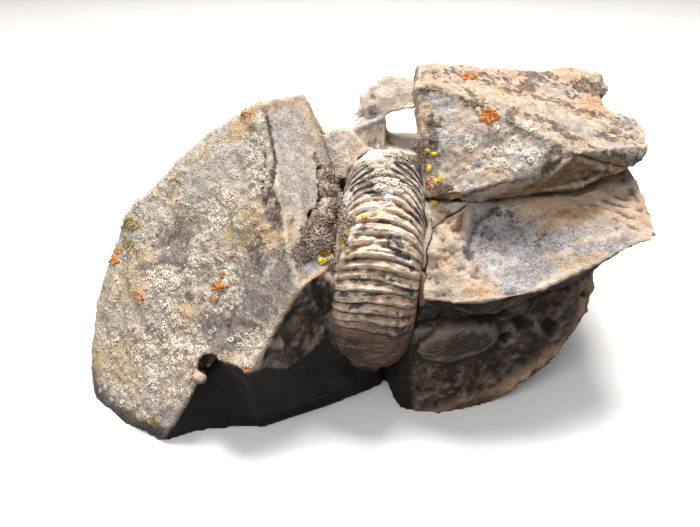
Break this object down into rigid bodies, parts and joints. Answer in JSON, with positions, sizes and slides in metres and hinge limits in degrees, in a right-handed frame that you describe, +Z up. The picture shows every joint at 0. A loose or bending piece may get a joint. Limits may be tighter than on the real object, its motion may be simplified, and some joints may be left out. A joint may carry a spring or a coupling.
{
  "type": "ammonite fossil",
  "caption": "Ribbed ammonite standing on edge in a broken, lichen-crusted piece of rock, with a cracked-off upper block and a dry moss cushion.",
  "frame": {"origin": "on the ground, under the middle of the whole piece", "axes": "+X to the viewer's right along the longest way, +Y away from the viewer, +Z up, the shortest way"},
  "size_m": [0.1176, 0.0728, 0.0624],
  "materials": {
    "weathered_stone": "matt, weathered, with pale lichen crusts",
    "fossil_shell": "satin, ribbed, partly flaked",
    "dry_moss": "matt, tufted"
  },
  "bodies": {
    "root": {"matrix_rock": "weathered_stone", "upper_block": "weathered_stone", "ammonite": "fossil_shell", "moss_cushion": "dry_moss"}
  },
  "joints": []
}
